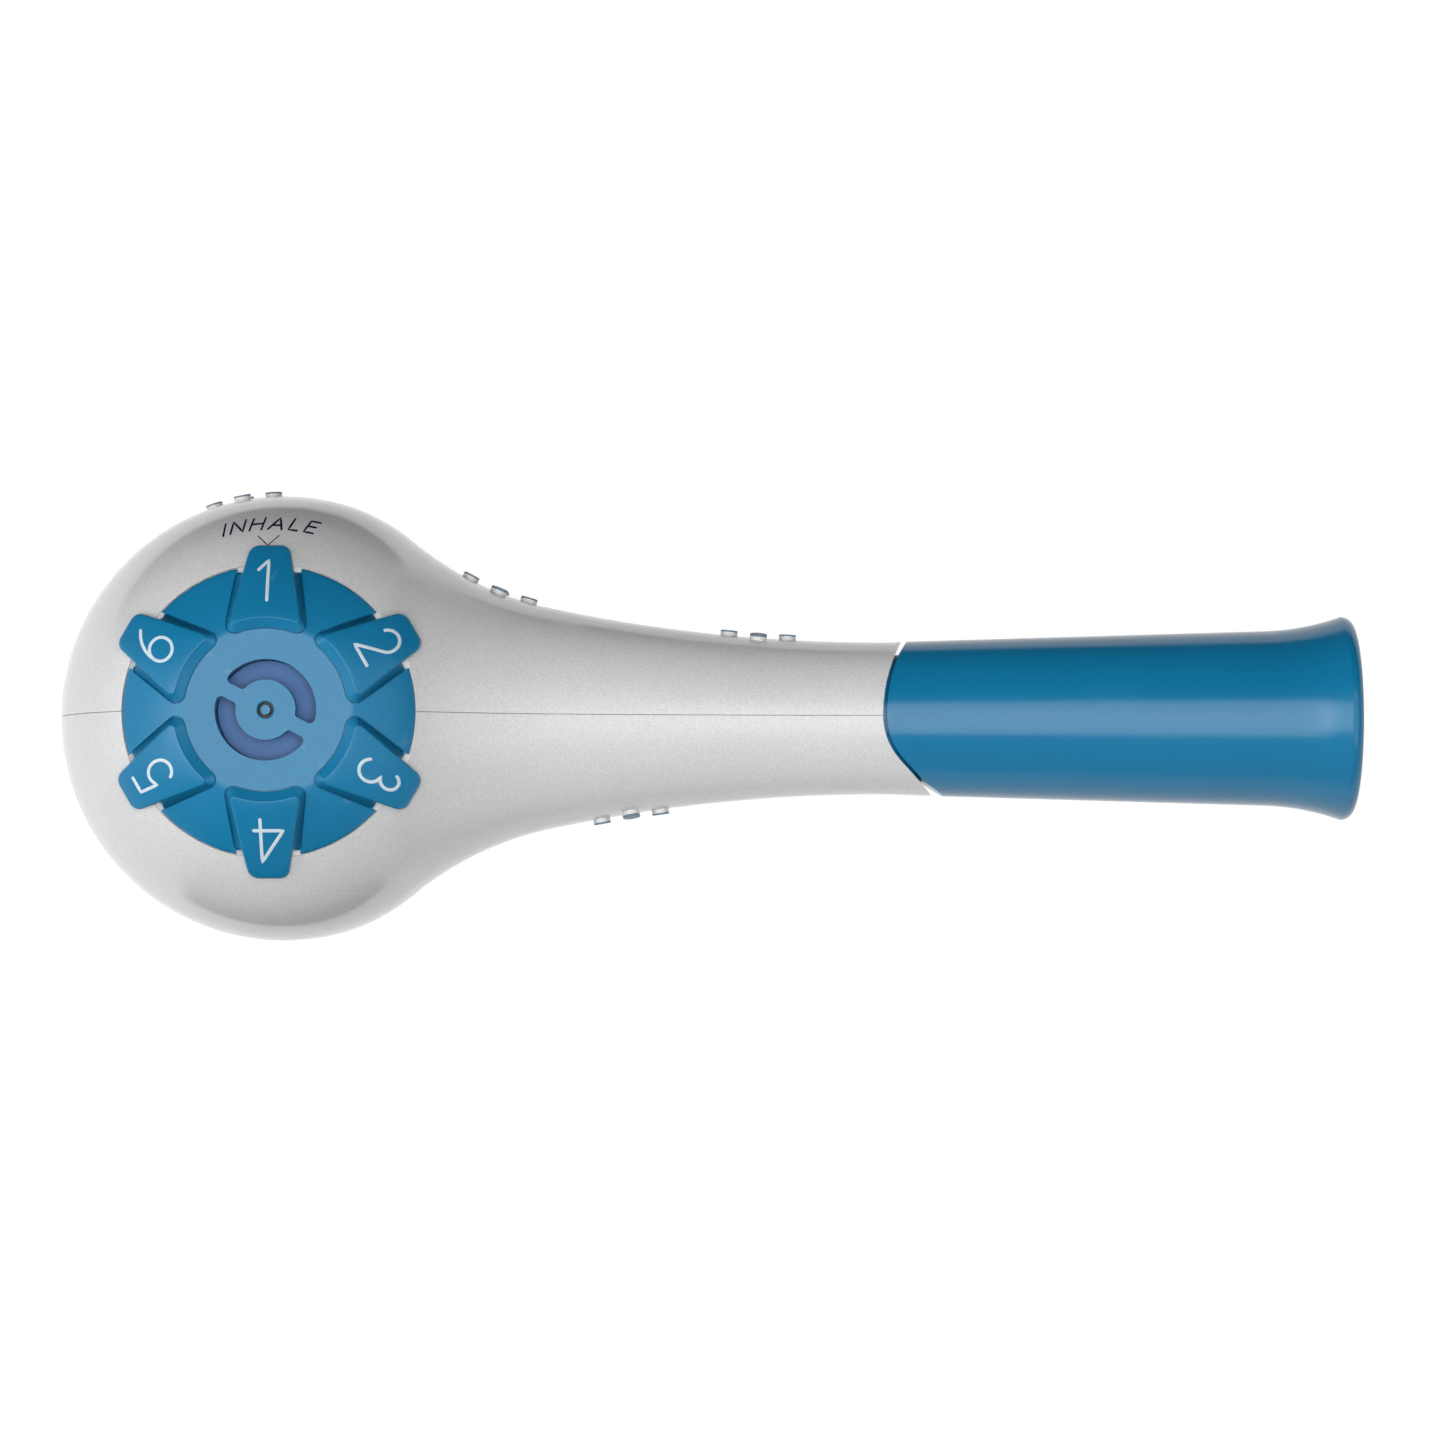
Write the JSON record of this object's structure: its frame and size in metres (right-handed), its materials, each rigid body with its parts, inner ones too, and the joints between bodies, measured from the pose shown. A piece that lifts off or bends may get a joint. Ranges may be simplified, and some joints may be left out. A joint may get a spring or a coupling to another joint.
{
  "type": "breathing trainer",
  "caption": "Handheld respiratory muscle trainer: ball-shaped head with a turning resistance dial on each face, tapering neck and removable round mouthpiece with a flared lip.",
  "frame": {"origin": "centre of the mouthpiece's bore in the plane of its mouth end", "axes": "+X along the airway, out of the mouthpiece; +Z along the dials' axis, out of the inhale dial; +Y towards the three finger pads"},
  "size_m": [0.1521, 0.053, 0.0512],
  "materials": {
    "body_white": "fine matte grain",
    "grip_blue": "soft matte",
    "mouthpiece_blue": "polished",
    "dial_blue": "satin gloss",
    "disc_violet": "matte",
    "inner_white": "plain moulded",
    "seal_blue": "moulded silicone",
    "valve_silicone": "milky silicone",
    "pin_steel": "bright"
  },
  "bodies": {
    "body": {"finger_side_shell": "body_white", "thumb_side_shell": "body_white", "finger_grip_caps": "grip_blue", "thumb_grip_caps": "grip_blue", "inhale_port_plate": "inner_white", "inhale_port_seal": "seal_blue", "inhale_click_spring": "pin_steel", "inhale_valve_seat": "inner_white", "exhale_port_plate": "inner_white", "exhale_port_seal": "seal_blue", "exhale_click_spring": "pin_steel", "exhale_valve_seat": "inner_white"},
    "inhale_dial_set": {"inhale_dial": "dial_blue", "inhale_orifice_disc": "disc_violet", "inhale_spindle": "pin_steel", "inhale_spindle_clip": "pin_steel"},
    "exhale_dial_set": {"exhale_dial": "dial_blue", "exhale_orifice_disc": "disc_violet", "exhale_spindle": "pin_steel", "exhale_spindle_clip": "pin_steel"},
    "mouthpiece_set": {"mouthpiece": "mouthpiece_blue", "mouthpiece_seal": "seal_blue"},
    "inhale_valve_set": {"inhale_valve": "valve_silicone"},
    "exhale_valve_set": {"exhale_valve": "valve_silicone"}
  },
  "joints": [
    {"name": "inhale_dial_turn", "type": "hinge", "parent": "body", "child": "inhale_dial_set", "pos_m": [-0.1259, 0, 0], "axis": [0, 0, 1], "continuous": true, "deforming": ["inhale_click_spring"]},
    {"name": "exhale_dial_turn", "type": "hinge", "parent": "body", "child": "exhale_dial_set", "pos_m": [-0.1259, 0, 0], "axis": [0, 0, 1], "continuous": true, "deforming": ["exhale_click_spring"]},
    {"name": "mouthpiece_pull", "type": "slide", "parent": "body", "child": "mouthpiece_set", "axis": [1, 0, 0], "range_m": [0, 0.016]},
    {"name": "inhale_valve_lift", "type": "slide", "parent": "body", "child": "inhale_valve_set", "axis": [0, 0, -1], "range_m": [0, 0.001], "stiffness_N_per_m": 5},
    {"name": "exhale_valve_lift", "type": "slide", "parent": "body", "child": "exhale_valve_set", "axis": [0, 0, -1], "range_m": [0, 0.001], "stiffness_N_per_m": 5}
  ]
}
